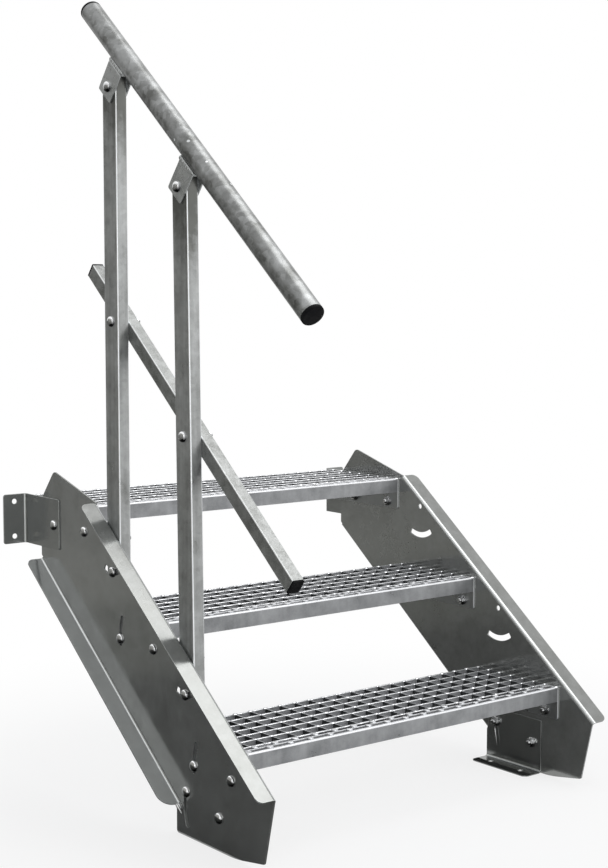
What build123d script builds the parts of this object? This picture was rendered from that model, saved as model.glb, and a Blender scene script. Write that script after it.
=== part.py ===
"""Bolted steel wall stair with three grating treads and a rail on the left side.

Lengths are millimetres and Z points up.  X runs along the treads from the left
string to the right one, Y runs back towards the wall.  The part's origin lies on
the floor, under the middle of the left foot plate.
"""
import math
import os

from build123d import *

# Steps
STEPS = 3
RISE = 195.0
GOING = 257.0

# Treads: a welded grating between two end plates
TREAD_WIDTH = 800.0
TREAD_DEPTH = 240.0
GRATING_HEIGHT = 30.0
BEARER_THICKNESS = 3.0
BEARER_COUNT = 6
CROSS_BAR_PITCH = 36.1
CROSS_BAR_THICKNESS = 2.0
CROSS_BAR_HEIGHT = 10.0
END_PLATE_THICKNESS = 3.0
END_PLATE_HEIGHT = 70.0
END_PLATE_CORNER = 4.0
LIP_HEIGHT = 32.0
LIP_THICKNESS = 3.0
LIP_EDGE_RADIUS = 2.5
NOSING_THICKNESS = 3.0
NOSING_SLOT_PITCH = 46.1
NOSING_SLOT_LENGTH = 38.0
NOSING_SLOT_DEPTH = 12.0
NOSING_FRONT_STRIP = 6.5
NOSING_ROW_SPACING = 15.5
NOSING_ROWS = 2
NOSING_TOOTH_RISE = 1.5
NOSING_TOOTH_TOP = 4.0

# Bolt places on a tread's end plate, from the tread's top front edge
TREAD_BOLT_DROP = 55.0
TREAD_BOLT_FRONT = 35.0
TREAD_BOLT_SPACING = 120.0

# Bolts are M10, in holes with normal clearance
BOLT_HOLE_RADIUS = 5.5
SLOT_WIDTH = 12.0

# Folded strings: the places behind the last tread's front edge keep to that tread
SHEET = 3.0
STRING_FLANGE = 40.0
STRING_HEIGHT = 250.0
STRING_TOP_OVER_NOSING = 18.5
BEND_RADIUS = 8.0
FLANGE_CORNER = 14.0
LOWER_FLANGE_FRONT = 206.0
LOWER_FLANGE_ROUND = 28.0
TOE_Y = -66.0
TOE_Z = 14.0
FRONT_Y = -99.0
FLAT_BOTTOM_FRONT = 20.0
FLAT_BOTTOM_BACK = 214.0
BOTTOM_SWEEP_RADIUS = 260.0
FOLD_END_BEFORE_LAST = 14.0
APEX_BEHIND_LAST = 157.0
APEX_RISE = 49.0
BACK_BEHIND_LAST = 213.0
BACK_CUT_DROP = 64.0
APEX_RADIUS = 14.0
CORNER_RADIUS = 6.0
TREAD_SLOT_UP = 20.0

# Posts: rectangular tube bolted to the left string
POST_DEPTH = 50.0
POST_WIDTH = 25.0
POST_WALL = 2.0
POST_CORNER = 3.0
POST_FRONT_Y = 183.0
POST_BOLT_OVER_NOSING = -66.0
POST_BOLT_SPACING = 65.0
POST_BOLT_BOTTOM = 22.0
POST_BOLT_TOP = 18.0
POST_SLOT_FRONT = 35.0
POST_SLOT_BACK = 27.0
POST_SLOT_CORNER = 3.0
FRONT_POST_LEAN = 0.9
REAR_POST_LEAN = 0.0

# Rails share one slope, a little steeper than the strings
RAIL_SLOPE = 39.5
HANDRAIL_DIAMETER = 42.4
HANDRAIL_WALL = 2.5
HANDRAIL_BOLT_Z = 1401.0
HANDRAIL_RISE = 65.2
HANDRAIL_BELOW = 434.0
HANDRAIL_ABOVE = 160.0
CAP_THICKNESS = 7.0
CAP_PLUG_LENGTH = 14.0
CAP_PLUG_CLEARANCE = 0.2

SADDLE_SHEET = 3.0
SADDLE_LENGTH = 52.0
SADDLE_BELOW_BOLT = 21.0
SADDLE_CORNER = 4.0
SADDLE_BEND = 4.0

KNEE_RAIL_HEIGHT = 30.0
KNEE_RAIL_WIDTH = 25.0
KNEE_RAIL_WALL = 2.0
KNEE_RAIL_CORNER = 2.5
KNEE_BOLT_Z = 953.0
KNEE_RAIL_BELOW = 376.0
KNEE_RAIL_ABOVE = 155.0
KNEE_CAP_THICKNESS = 4.0

# Wall brackets, outside the strings
BRACKET_SHEET = 3.0
WALL_BEHIND_LAST = 279.0
WALL_LEAF_LENGTH = 146.0
WALL_LEAF_HEIGHT = 105.0
WALL_FLANGE = 54.0
WALL_HOLE_RADIUS = 5.5
WALL_HOLE_SPACING = 74.0
WALL_CORNER = 5.0

# Foot brackets, inside the strings
FOOT_BACK_Y = 211.0
FOOT_LENGTH = 164.0
FOOT_LEAF_HEIGHT = 114.0
FOOT_FLANGE = 50.0
FOOT_CORNER = 10.0
FOOT_BOLT_Y = 74.0
FOOT_BOLT_Z = 62.0
FOOT_SLOT_RADIUS = 110.0
FOOT_SLOT_TOP = 12.0
FOOT_SLOT_BOTTOM = -20.0
FOOT_HOLE_SPACING = 90.0
FOOT_HOLE_RADIUS = 5.5

# Worked out from the sizes above
PITCH = math.degrees(math.atan2(RISE, GOING))
PITCH_TAN = RISE / GOING
PITCH_SIN = math.sin(math.radians(PITCH))
PITCH_COS = math.cos(math.radians(PITCH))
RAIL_TAN = math.tan(math.radians(RAIL_SLOPE))
LAST_NOSING_Y = (STEPS - 1) * GOING
TOP_BREAK_Y = LAST_NOSING_Y - FOLD_END_BEFORE_LAST
APEX_Y = LAST_NOSING_Y + APEX_BEHIND_LAST
BACK_Y = LAST_NOSING_Y + BACK_BEHIND_LAST
WALL_Y = LAST_NOSING_Y + WALL_BEHIND_LAST
POST_REAR_Y = POST_FRONT_Y + GOING
POSTS = {"front": (POST_FRONT_Y, FRONT_POST_LEAN), "rear": (POST_REAR_Y, REAR_POST_LEAN)}
FOOT_MIDDLE_Y = FOOT_BACK_Y - FOOT_LENGTH / 2
FOOT_MIDDLE_X = FOOT_FLANGE / 2
RIGHT_SIDE = Plane.YZ.offset(TREAD_WIDTH / 2)
MARGIN = 20.0


def nosing_line(y):
    """Height of the line through the treads' front edges."""
    return RISE + y * PITCH_TAN


def string_top(y):
    """Height of a string's upper fold."""
    return nosing_line(y) + STRING_TOP_OVER_NOSING


def string_bottom(y):
    """Height of a string's lower fold."""
    return string_top(y) - STRING_HEIGHT / PITCH_COS


def export(shape, name):
    """Write one piece with the part's origin under the left foot plate."""
    shape.label = name
    export_step(Pos(-FOOT_MIDDLE_X, -FOOT_MIDDLE_Y, 0) * shape, f"parts/{name}.step")


def mirrored(shape):
    """The same piece on the right string."""
    return mirror(shape, about=RIGHT_SIDE)


def outline(corners):
    """A flat outline of (y, z, corner radius) points."""
    face = make_face(Polyline([(y, z) for y, z, radius in corners], close=True))
    for y, z, radius in corners:
        if radius > 0:
            vertex = face.vertices().sort_by_distance((y, z, 0))[0]
            face = fillet(vertex, radius)
    return face


def sheet(face, x, thickness):
    """Stand a side view at x and give it a thickness along X."""
    return extrude(Plane.YZ.offset(x) * face, amount=thickness)


def hole(y, z, radius=BOLT_HOLE_RADIUS):
    """A round hole in a side view."""
    return Pos(y, z) * Circle(radius)


def arc_slot(y, z, radius, start, sweep, width=SLOT_WIDTH):
    """A slot that is an arc about the bolt at y, z."""
    return SlotArc(CenterArc((y, z), radius, start, sweep), width)


def square_slot(y, z, radius, front, back):
    """An arc slot under the bolt at y, z, square at its ends; front and back are its angles."""
    inner = radius - SLOT_WIDTH / 2
    outer = radius + SLOT_WIDTH / 2
    ring = Pos(y, z) * (Circle(outer) - Circle(inner))
    sides = [(y, z)]
    for angle in (-front, back):
        turned = math.radians(angle)
        sides.append((y + 2 * outer * math.sin(turned), z - 2 * outer * math.cos(turned)))
    slot = ring & make_face(Polyline(sides, close=True))
    return fillet(slot.vertices(), POST_SLOT_CORNER)


def along(origin, slope):
    """A plane whose X runs up a slope and whose Y is square to it."""
    angle = math.radians(slope)
    return Plane(origin=origin, x_dir=(0, math.cos(angle), math.sin(angle)), z_dir=(1, 0, 0))


def tread_bolts(step):
    """Front and rear bolt of a tread, as (y, z)."""
    y = step * GOING + TREAD_BOLT_FRONT
    z = (step + 1) * RISE - TREAD_BOLT_DROP
    return (y, z), (y + TREAD_BOLT_SPACING, z)


def post_bolts(y):
    """Upper and lower bolt of a post on the string, as (y, z)."""
    lower = nosing_line(y) + POST_BOLT_OVER_NOSING
    return (y, lower + POST_BOLT_SPACING), (y, lower)


def string_cuts():
    """Every hole and slot in a string's web."""
    cuts = []
    for step in range(STEPS):
        front, rear = tread_bolts(step)
        cuts.append(hole(*front))
        cuts.append(arc_slot(*front, TREAD_BOLT_SPACING, -TREAD_SLOT_UP / 5, TREAD_SLOT_UP * 1.2))
    for y in (POST_FRONT_Y, POST_REAR_Y):
        upper, lower = post_bolts(y)
        cuts.append(hole(*upper))
        cuts.append(square_slot(*upper, POST_BOLT_SPACING, POST_SLOT_FRONT, POST_SLOT_BACK))
    cuts.append(hole(FOOT_BOLT_Y, FOOT_BOLT_Z))
    sweep = FOOT_SLOT_TOP - FOOT_SLOT_BOTTOM
    cuts.append(arc_slot(FOOT_BOLT_Y, FOOT_BOLT_Z, FOOT_SLOT_RADIUS, FOOT_SLOT_BOTTOM, sweep))
    return cuts


def square_off(y, z, distance):
    """The point a distance above y, z and square to the strings' slope."""
    return y - distance * PITCH_SIN, z + distance * PITCH_COS


def fold(y_low, z_low, y_high, up, front_corner):
    """A flange folded outwards along the slope, with its bend; up is the web's side, 1 or -1."""
    run = (y_high - y_low) / PITCH_COS
    leg = BEND_RADIUS + SHEET
    section = outline([
        (0, 0, BEND_RADIUS), (STRING_FLANGE, 0, 0), (STRING_FLANGE, up * SHEET, 0),
        (SHEET, up * SHEET, BEND_RADIUS - SHEET), (SHEET, up * leg, 0), (0, up * leg, 0),
    ])
    start = (0, y_low, z_low)
    slope = (0, PITCH_COS, PITCH_SIN)
    angle_bar = extrude(Plane(origin=start, x_dir=(-1, 0, 0), z_dir=slope) * section, amount=run)
    footprint = Pos(run / 2, STRING_FLANGE / 2) * Rectangle(run, STRING_FLANGE)
    front, back = footprint.vertices().group_by(Axis.Y)[-1].sort_by(Axis.X)
    footprint = fillet(fillet(front, front_corner).vertices().sort_by_distance(back)[0], FLANGE_CORNER)
    place = Plane(origin=start, x_dir=slope, z_dir=(0, -PITCH_SIN, PITCH_COS))
    return angle_bar & extrude(place * footprint, amount=2 * leg, both=True)


def string():
    """The left string: a web with its upper and lower edges folded outwards."""
    apex_z = string_top(TOP_BREAK_Y) + APEX_RISE
    web = outline([
        (*square_off(FRONT_Y, string_top(FRONT_Y), -BEND_RADIUS), 0),
        (TOE_Y, TOE_Z, CORNER_RADIUS),
        (FLAT_BOTTOM_FRONT, 0, BOTTOM_SWEEP_RADIUS),
        (FLAT_BOTTOM_BACK, 0, CORNER_RADIUS),
        (FLAT_BOTTOM_BACK, string_bottom(FLAT_BOTTOM_BACK), 0),
        (*square_off(FLAT_BOTTOM_BACK, string_bottom(FLAT_BOTTOM_BACK), BEND_RADIUS), 0),
        (BACK_Y, string_bottom(BACK_Y) + BEND_RADIUS / PITCH_COS, 0),
        (BACK_Y, apex_z - BACK_CUT_DROP, CORNER_RADIUS),
        (APEX_Y, apex_z, APEX_RADIUS),
        (TOP_BREAK_Y, string_top(TOP_BREAK_Y), 0),
        (*square_off(TOP_BREAK_Y, string_top(TOP_BREAK_Y), -BEND_RADIUS), 0),
    ])
    solid = sheet(web, 0, -SHEET)
    solid += fold(FRONT_Y, string_top(FRONT_Y), TOP_BREAK_Y, -1, FLANGE_CORNER)
    low = LOWER_FLANGE_FRONT
    solid += fold(low, string_bottom(low), BACK_Y, 1, LOWER_FLANGE_ROUND)
    for cut in string_cuts():
        solid -= sheet(cut, SHEET, -3 * SHEET)
    return solid


def reach_of_rail(y, lean, bolt_z):
    """How far up a leaning post, from its upper string bolt, a rail's bolt line crosses it."""
    pivot_z = post_bolts(y)[0][1]
    angle = math.radians(lean)
    drop = bolt_z - (POST_REAR_Y - y) * RAIL_TAN - pivot_z
    return drop / (math.cos(angle) - RAIL_TAN * math.sin(angle))


def on_post(y, lean, bolt_z):
    """The rail bolt of a leaning post, as (y, z)."""
    angle = math.radians(lean)
    reach = reach_of_rail(y, lean, bolt_z)
    return y + reach * math.sin(angle), post_bolts(y)[0][1] + reach * math.cos(angle)


def post(y, lean):
    """A post: rectangular tube with its bolt holes, leaning about its upper string bolt."""
    upper, lower = post_bolts(y)
    knee_z = upper[1] + reach_of_rail(y, lean, KNEE_BOLT_Z)
    top_z = upper[1] + reach_of_rail(y, lean, HANDRAIL_BOLT_Z)
    bottom = lower[1] - POST_BOLT_BOTTOM
    height = top_z + POST_BOLT_TOP - bottom
    section = RectangleRounded(POST_WIDTH, POST_DEPTH, POST_CORNER)
    bore = RectangleRounded(
        POST_WIDTH - 2 * POST_WALL, POST_DEPTH - 2 * POST_WALL, POST_CORNER - POST_WALL)
    tube = extrude(Pos(POST_WIDTH / 2, y, bottom) * (section - bore), amount=height)
    for z in (upper[1], lower[1], knee_z, top_z):
        tube -= sheet(hole(y, z), -MARGIN, POST_WIDTH + 2 * MARGIN)
    pivot = Axis((0, *upper), (1, 0, 0))
    return tube.rotate(pivot, -lean)


def bend(solid, point, radius):
    """Round the edge that passes through a point."""
    return fillet(solid.edges().sort_by_distance(point)[0], radius)


def saddle(bolt):
    """A U of sheet under the handrail, with its legs on both sides of a post."""
    length = SADDLE_LENGTH
    top = HANDRAIL_RISE - HANDRAIL_DIAMETER / 2
    height = top + SADDLE_BELOW_BOLT
    leg = Pos(0, top - height / 2) * Rectangle(length, height)
    leg = fillet(leg.vertices().group_by(Axis.Y)[0], SADDLE_CORNER)
    leg -= Circle(BOLT_HOLE_RADIUS)
    bridge = Pos(0, top - SADDLE_SHEET / 2) * Rectangle(length, SADDLE_SHEET)
    near = extrude(along((0, *bolt), RAIL_SLOPE) * leg, amount=-SADDLE_SHEET)
    far = extrude(along((POST_WIDTH, *bolt), RAIL_SLOPE) * leg, amount=SADDLE_SHEET)
    middle = extrude(along((0, *bolt), RAIL_SLOPE) * bridge, amount=POST_WIDTH)
    solid = near + middle + far
    for x in (-SADDLE_SHEET, POST_WIDTH + SADDLE_SHEET):
        solid = bend(solid, (x, *on_slope(bolt, 0, top)), SADDLE_BEND)
    return solid


def on_slope(point, along_run, square_to):
    """A point moved up the rail slope and square to it, as (y, z)."""
    angle = math.radians(RAIL_SLOPE)
    y = point[0] + along_run * math.cos(angle) - square_to * math.sin(angle)
    z = point[1] + along_run * math.sin(angle) + square_to * math.cos(angle)
    return y, z


def slope_section(x, point):
    """A plane square to the rail slope, for the section of a rail."""
    angle = math.radians(RAIL_SLOPE)
    direction = (0, math.cos(angle), math.sin(angle))
    return Plane(origin=(x, *point), x_dir=(1, 0, 0), z_dir=direction)


def handrail(low, length):
    """Round tube for the hand."""
    ring = Circle(HANDRAIL_DIAMETER / 2) - Circle(HANDRAIL_DIAMETER / 2 - HANDRAIL_WALL)
    return extrude(slope_section(POST_WIDTH / 2, low) * ring, amount=length)


def handrail_cap(point, outward):
    """Plastic plug with a rounded head; outward is 1 at the top, -1 at the bottom."""
    place = slope_section(POST_WIDTH / 2, point)
    head = extrude(place * Circle(HANDRAIL_DIAMETER / 2), amount=outward * CAP_THICKNESS)
    outer = head.edges().sort_by(lambda edge: outward * edge.center().Z)[-1]
    head = fillet(outer, CAP_THICKNESS / 2)
    plug_radius = HANDRAIL_DIAMETER / 2 - HANDRAIL_WALL - CAP_PLUG_CLEARANCE
    plug = extrude(place * Circle(plug_radius), amount=-outward * CAP_PLUG_LENGTH)
    return head + plug


def knee_rail(low, length, bolts):
    """Rectangular tube on the inner faces of the posts, with a hole at each post."""
    x = POST_WIDTH + KNEE_RAIL_WIDTH / 2
    section = RectangleRounded(KNEE_RAIL_WIDTH, KNEE_RAIL_HEIGHT, KNEE_RAIL_CORNER)
    bore = RectangleRounded(
        KNEE_RAIL_WIDTH - 2 * KNEE_RAIL_WALL, KNEE_RAIL_HEIGHT - 2 * KNEE_RAIL_WALL, 0.5)
    tube = extrude(slope_section(x, low) * (section - bore), amount=length)
    for bolt in bolts:
        tube -= sheet(hole(*bolt), 0, POST_WIDTH + KNEE_RAIL_WIDTH + MARGIN)
    return tube


def knee_cap(point, outward):
    """Plastic plug in an end of the knee rail."""
    place = slope_section(POST_WIDTH + KNEE_RAIL_WIDTH / 2, point)
    head = RectangleRounded(KNEE_RAIL_WIDTH, KNEE_RAIL_HEIGHT, KNEE_RAIL_CORNER)
    inset = 2 * (KNEE_RAIL_WALL + CAP_PLUG_CLEARANCE)
    plug = Rectangle(KNEE_RAIL_WIDTH - inset, KNEE_RAIL_HEIGHT - inset)
    cap = extrude(place * head, amount=outward * KNEE_CAP_THICKNESS)
    return cap + extrude(place * plug, amount=-outward * CAP_PLUG_LENGTH)


def wall_bracket():
    """The left angle that bolts the string's back end to the wall."""
    top = STEPS * RISE
    bottom = top - WALL_LEAF_HEIGHT
    front = WALL_Y - WALL_LEAF_LENGTH
    leaf = outline([
        (front, bottom, WALL_CORNER), (WALL_Y, bottom, 0),
        (WALL_Y, top, 0), (front, top, WALL_CORNER),
    ])
    leaf -= hole(*tread_bolts(STEPS - 1)[1])
    solid = sheet(leaf, -SHEET, -BRACKET_SHEET)
    outer = -SHEET - WALL_FLANGE
    middle_z = (top + bottom) / 2
    face = Pos((outer - SHEET) / 2, middle_z) * Rectangle(WALL_FLANGE, WALL_LEAF_HEIGHT)
    face = fillet(face.vertices().group_by(Axis.X)[0], WALL_CORNER)
    for side in (-1, 1):
        x = -SHEET - BRACKET_SHEET - (WALL_FLANGE - BRACKET_SHEET) / 2
        face -= Pos(x, middle_z + side * WALL_HOLE_SPACING / 2) * Circle(WALL_HOLE_RADIUS)
    solid += extrude(Plane.XZ.offset(-WALL_Y) * face, amount=BRACKET_SHEET)
    solid = bend(solid, (-SHEET, WALL_Y, middle_z), BEND_RADIUS)
    inner = (-SHEET - BRACKET_SHEET, WALL_Y - BRACKET_SHEET, middle_z)
    return bend(solid, inner, BEND_RADIUS - BRACKET_SHEET)


def foot_bracket():
    """The left angle that stands on the floor, inside the string."""
    front = FOOT_BACK_Y - FOOT_LENGTH
    leaf = outline([
        (front, 0, 0), (FOOT_BACK_Y, 0, 0),
        (FOOT_BACK_Y, string_bottom(FOOT_BACK_Y), 0),
        (FOOT_BACK_Y - FOOT_CORNER, FOOT_LEAF_HEIGHT - FOOT_CORNER, 0),
        (FOOT_BACK_Y - 2 * FOOT_CORNER, FOOT_LEAF_HEIGHT, 0),
        (front, FOOT_LEAF_HEIGHT, 0),
    ])
    leaf -= hole(FOOT_BOLT_Y, FOOT_BOLT_Z)
    slot_angle = math.radians(FOOT_SLOT_TOP)
    bolt_y = FOOT_BOLT_Y + FOOT_SLOT_RADIUS * math.cos(slot_angle)
    leaf -= hole(bolt_y, FOOT_BOLT_Z + FOOT_SLOT_RADIUS * math.sin(slot_angle))
    solid = sheet(leaf, 0, BRACKET_SHEET)
    plate = Pos(FOOT_FLANGE / 2, FOOT_MIDDLE_Y) * Rectangle(FOOT_FLANGE, FOOT_LENGTH)
    plate = fillet(plate.vertices().group_by(Axis.X)[-1], FOOT_CORNER)
    for side in (-1, 1):
        x = BRACKET_SHEET + (FOOT_FLANGE - BRACKET_SHEET) / 2
        plate -= Pos(x, FOOT_MIDDLE_Y + side * FOOT_HOLE_SPACING / 2) * Circle(FOOT_HOLE_RADIUS)
    solid += extrude(plate, amount=BRACKET_SHEET)
    solid = bend(solid, (0, FOOT_MIDDLE_Y, 0), BEND_RADIUS)
    inner = (BRACKET_SHEET, FOOT_MIDDLE_Y, BRACKET_SHEET)
    return bend(solid, inner, BEND_RADIUS - BRACKET_SHEET)


def end_plate(step):
    """The left end plate of a tread, with the holes for its two bolts."""
    y = step * GOING
    z = (step + 1) * RISE
    face = outline([
        (y, z, 0), (y + TREAD_DEPTH, z, 0),
        (y + TREAD_DEPTH, z - END_PLATE_HEIGHT, END_PLATE_CORNER),
        (y, z - END_PLATE_HEIGHT, END_PLATE_CORNER),
    ])
    for place in tread_bolts(step):
        face -= hole(*place)
    return sheet(face, 0, END_PLATE_THICKNESS)


def clear_width():
    """Length of the bars between a tread's end plates."""
    return TREAD_WIDTH - 2 * END_PLATE_THICKNESS


def bearer_places():
    """Y places of a tread's inner bearing bars, from its front edge."""
    pitch = (TREAD_DEPTH - BEARER_THICKNESS) / (BEARER_COUNT + 1)
    return [pitch * (index + 1) for index in range(BEARER_COUNT)]


def nosing_depth():
    """The nosing reaches over the first of the inner bearing bars."""
    return bearer_places()[0] + BEARER_THICKNESS


def grating(step):
    """Bearing bars and cross bars of a tread, fused where they cross."""
    y = step * GOING
    z = (step + 1) * RISE
    middle = TREAD_WIDTH / 2
    solids = []
    for place in bearer_places():
        bar = Box(clear_width(), BEARER_THICKNESS, GRATING_HEIGHT)
        solids.append(Pos(middle, y + place + BEARER_THICKNESS / 2, z - GRATING_HEIGHT / 2) * bar)
    front = y + bearer_places()[0]
    back = y + TREAD_DEPTH - BEARER_THICKNESS
    count = round(clear_width() / CROSS_BAR_PITCH)
    pitch = clear_width() / count
    for index in range(1, count):
        x = END_PLATE_THICKNESS + index * pitch
        bar = Box(CROSS_BAR_THICKNESS, back - front, CROSS_BAR_HEIGHT)
        solids.append(Pos(x, (front + back) / 2, z - CROSS_BAR_HEIGHT / 2) * bar)
    bars = solids[0].fuse(*solids[1:])
    cover = Box(clear_width(), nosing_depth(), NOSING_THICKNESS)
    return bars - Pos(middle, y + nosing_depth() / 2, z - NOSING_THICKNESS / 2) * cover


def back_bar(step):
    """The bar that closes a tread at the back."""
    y = step * GOING + TREAD_DEPTH - BEARER_THICKNESS / 2
    z = (step + 1) * RISE - GRATING_HEIGHT / 2
    return Pos(TREAD_WIDTH / 2, y, z) * Box(clear_width(), BEARER_THICKNESS, GRATING_HEIGHT)


def slot_places(row):
    """Start and end along X of each slot in one row; every other row moves half a pitch."""
    shift = (row / NOSING_ROWS - 0.25) * NOSING_SLOT_PITCH
    edge = END_PLATE_THICKNESS + NOSING_FRONT_STRIP
    places = []
    for index in range(math.ceil(TREAD_WIDTH / NOSING_SLOT_PITCH)):
        middle = (index + 0.5) * NOSING_SLOT_PITCH + TREAD_WIDTH / 2 + shift
        for x in {middle, TREAD_WIDTH + 2 * shift - middle}:
            start = max(x - NOSING_SLOT_LENGTH / 2, edge)
            end = min(x + NOSING_SLOT_LENGTH / 2, TREAD_WIDTH - edge)
            if end - start > NOSING_SLOT_DEPTH:
                places.append((start, end))
    return sorted(places)


def tooth(x, y, z):
    """A low ridge on the sheet between two slots."""
    base = (NOSING_SLOT_PITCH - NOSING_SLOT_LENGTH) / 2
    top = NOSING_TOOTH_TOP / 2
    section = Polyline(
        [(x - base, z), (x + base, z), (x + top, z + NOSING_TOOTH_RISE),
         (x - top, z + NOSING_TOOTH_RISE)], close=True)
    place = Plane.XZ.offset(-y - NOSING_SLOT_DEPTH / 2)
    return extrude(place * make_face(section), amount=NOSING_SLOT_DEPTH)


def nosing(step):
    """The folded front edge of a tread, with staggered rows of slots and a tooth between slots."""
    y = step * GOING
    z = (step + 1) * RISE
    depth = nosing_depth()
    section = outline([
        (y, z, LIP_EDGE_RADIUS), (y + depth, z, 0),
        (y + depth, z - NOSING_THICKNESS, 0),
        (y + LIP_THICKNESS, z - NOSING_THICKNESS, 0),
        (y + LIP_THICKNESS, z - LIP_HEIGHT, 0), (y, z - LIP_HEIGHT, 0),
    ])
    solid = sheet(section, END_PLATE_THICKNESS, clear_width())
    slots = []
    teeth = []
    for row in range(NOSING_ROWS):
        row_y = y + NOSING_FRONT_STRIP + NOSING_SLOT_DEPTH / 2 + row * NOSING_ROW_SPACING
        places = slot_places(row)
        for start, end in places:
            slot = Box(end - start, NOSING_SLOT_DEPTH, 3 * NOSING_THICKNESS)
            slots.append(Pos((start + end) / 2, row_y, z) * slot)
        for left, right in zip(places, places[1:]):
            teeth.append(tooth((left[1] + right[0]) / 2, row_y, z))
    return solid.cut(*slots).fuse(*teeth)


def make_strings():
    left = string()
    export(left, "string_left")
    export(mirrored(left), "string_right")


def make_treads():
    for step in range(STEPS):
        name = f"tread_{step + 1}"
        export(grating(step), f"{name}_grating")
        export(nosing(step), f"{name}_nosing")
        export(back_bar(step), f"{name}_back_bar")
        plate = end_plate(step)
        export(plate, f"{name}_end_plate_left")
        export(mirrored(plate), f"{name}_end_plate_right")


def make_brackets():
    for name, bracket in (("wall_bracket", wall_bracket()), ("foot_bracket", foot_bracket())):
        export(bracket, f"{name}_left")
        export(mirrored(bracket), f"{name}_right")


def make_railing():
    """Posts first, then the rails through the bolts at their heads."""
    rail_bolts = {}
    knee_bolts = {}
    for name, (y, lean) in POSTS.items():
        export(post(y, lean), f"post_{name}")
        rail_bolts[name] = on_post(y, lean, HANDRAIL_BOLT_Z)
        knee_bolts[name] = on_post(y, lean, KNEE_BOLT_Z)
        export(saddle(rail_bolts[name]), f"handrail_saddle_{name}")

    low = on_slope(rail_bolts["front"], -HANDRAIL_BELOW, HANDRAIL_RISE)
    high = on_slope(rail_bolts["rear"], HANDRAIL_ABOVE, HANDRAIL_RISE)
    export(handrail(low, math.dist(low, high)), "handrail")
    export(handrail_cap(low, -1), "handrail_cap_lower")
    export(handrail_cap(high, 1), "handrail_cap_upper")

    low = on_slope(knee_bolts["front"], -KNEE_RAIL_BELOW, 0)
    high = on_slope(knee_bolts["rear"], KNEE_RAIL_ABOVE, 0)
    export(knee_rail(low, math.dist(low, high), knee_bolts.values()), "knee_rail")
    export(knee_cap(low, -1), "knee_rail_cap_lower")
    export(knee_cap(high, 1), "knee_rail_cap_upper")


os.makedirs("parts", exist_ok=True)
make_strings()
make_treads()
make_brackets()
make_railing()
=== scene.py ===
# %% [markdown]
# # A galvanised wall stair, dressed for a photograph
# The frame of this scene is the measured model: strings, treads, posts, rails and
# brackets already stand in their places, in metres. Here they get the zinc that the
# real ones have, the rounded edges that zinc leaves on steel, and what is too small for
# the measured model: bolts with their nuts, and the lumps, drips and welds of the
# workshop.

# %% Load the measured frame
import math

import bmesh
import bpy
from mathutils import Euler, Matrix, Vector


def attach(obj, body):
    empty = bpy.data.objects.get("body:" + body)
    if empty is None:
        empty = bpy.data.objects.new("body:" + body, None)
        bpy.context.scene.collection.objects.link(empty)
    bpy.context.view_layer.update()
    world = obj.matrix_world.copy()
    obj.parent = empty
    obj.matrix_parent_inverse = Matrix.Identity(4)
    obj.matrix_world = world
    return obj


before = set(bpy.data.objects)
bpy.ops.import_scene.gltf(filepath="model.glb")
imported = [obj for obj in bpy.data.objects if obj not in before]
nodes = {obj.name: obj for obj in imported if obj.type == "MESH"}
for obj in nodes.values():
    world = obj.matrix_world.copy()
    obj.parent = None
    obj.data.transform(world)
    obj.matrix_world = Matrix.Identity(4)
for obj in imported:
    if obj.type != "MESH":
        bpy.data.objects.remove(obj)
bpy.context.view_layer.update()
bpy.ops.object.select_all(action="DESELECT")
print("pieces in the frame:", len(nodes))

# %% [markdown]
# The camera stands to the left and in front of the stair, at about the height of the
# knee rail, and looks slightly down. Its place was worked out from the vanishing lines
# of the treads and posts. The picture was cut from a wider one, so the lens axis lies
# right of the middle, and a small shift of the lens says so.

# %% Camera
CAMERA_PLACE = (-1.6446, -2.4283, 1.0063)
CAMERA_YAW, CAMERA_PITCH, CAMERA_ROLL = 39.531, -4.938, 0.189
FOCAL_PIXELS, PICTURE_HEIGHT = 1619.9, 868
AXIS_RIGHT_PIXELS, AXIS_DOWN_PIXELS = 62.1, 0.7
SENSOR = 36

turn = Euler((math.radians(90 + CAMERA_PITCH), 0, math.radians(-CAMERA_YAW))).to_matrix()
turn = turn @ Matrix.Rotation(math.radians(CAMERA_ROLL), 3, "Z")
bpy.ops.object.camera_add(location=CAMERA_PLACE, rotation=turn.to_euler())
camera = bpy.context.object
camera.name = "photo_camera"
camera.data.sensor_width = SENSOR
camera.data.lens = FOCAL_PIXELS / PICTURE_HEIGHT * SENSOR
camera.data.shift_x = -AXIS_RIGHT_PIXELS / PICTURE_HEIGHT
camera.data.shift_y = AXIS_DOWN_PIXELS / PICTURE_HEIGHT
bpy.context.scene.camera = camera
print("camera lens:", round(camera.data.lens, 1), "mm")

# %% [markdown]
# A shader is a small net of nodes. Each node is added by its type, its sockets are set
# or linked, and one helper keeps that to a line. A socket value that is another node's
# output becomes a link, and anything else is written on the socket.

# %% Helpers for shader nodes
def put(tree, kind, **sockets):
    """Add a node of a kind and set or link its inputs; a name like in_0 is an index."""
    node = tree.nodes.new(kind)
    for name, value in sockets.items():
        if not name.startswith("in_"):
            setattr(node, name, value)
            continue
        key = name[3:]
        socket = node.inputs[int(key)] if key.isdigit() else node.inputs[key.replace("_", " ")]
        if isinstance(value, bpy.types.NodeSocket):
            tree.links.new(value, socket)
        else:
            socket.default_value = value
    return node


def sum_up(tree, operation, first, second=0.0, clamp=False):
    """A math node's output."""
    node = put(tree, "ShaderNodeMath", operation=operation, use_clamp=clamp, in_0=first, in_1=second)
    return node.outputs[0]


def apart(tree, where):
    """The X, Y and Z of a vector, as a node's outputs."""
    return put(tree, "ShaderNodeSeparateXYZ", in_Vector=where).outputs


print("shader helpers ready")

# %% [markdown]
# The background is pure white for everything that is seen, straight or in a
# reflection, and a plain grey sky for the soft light. The world shader asks the light
# path which kind of ray arrives.

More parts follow.
